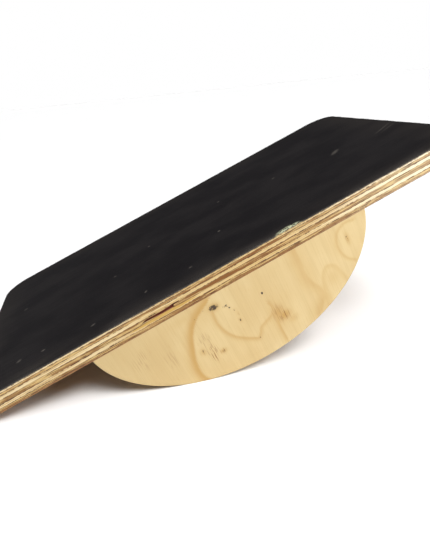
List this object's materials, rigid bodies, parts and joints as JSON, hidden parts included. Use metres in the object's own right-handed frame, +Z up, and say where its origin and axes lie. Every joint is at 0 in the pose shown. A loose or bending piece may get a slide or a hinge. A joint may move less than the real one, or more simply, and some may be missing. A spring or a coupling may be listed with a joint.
{
  "type": "balance board",
  "caption": "Plywood balance board with a black-coated top on curved half-oval rockers, lying tipped with one end down.",
  "frame": {"origin": "on the floor, below the middle of the board's outline, in the stance where both rockers and the left end touch the floor", "axes": "+Z up from the floor; +X along the floor towards the raised end; +Y from the front rocker to the back rocker"},
  "size_m": [0.4734, 0.3, 0.1955],
  "materials": {
    "black_coating": "matte, worn",
    "face_veneer": "bare, sanded",
    "long_grain_veneer": "bare, sawn edge",
    "cross_grain_veneer": "bare, sawn end grain",
    "dowel_wood": "bare, fluted"
  },
  "bodies": {
    "root": {"deck_coating": "black_coating", "deck_bottom_face_veneer": "face_veneer", "deck_bottom_crossband": "cross_grain_veneer", "deck_bottom_long_band": "long_grain_veneer", "deck_core_veneer": "cross_grain_veneer", "deck_top_long_band": "long_grain_veneer", "deck_top_crossband": "cross_grain_veneer", "deck_top_face_veneer": "face_veneer", "front_rocker_outer_face_veneer": "face_veneer", "front_rocker_outer_crossband": "cross_grain_veneer", "front_rocker_outer_long_band": "long_grain_veneer", "front_rocker_core_veneer": "cross_grain_veneer", "front_rocker_inner_long_band": "long_grain_veneer", "front_rocker_inner_crossband": "cross_grain_veneer", "front_rocker_inner_face_veneer": "face_veneer", "front_rocker_dowels": "dowel_wood", "back_rocker_outer_face_veneer": "face_veneer", "back_rocker_outer_crossband": "cross_grain_veneer", "back_rocker_outer_long_band": "long_grain_veneer", "back_rocker_core_veneer": "cross_grain_veneer", "back_rocker_inner_long_band": "long_grain_veneer", "back_rocker_inner_crossband": "cross_grain_veneer", "back_rocker_inner_face_veneer": "face_veneer", "back_rocker_dowels": "dowel_wood"}
  },
  "joints": []
}
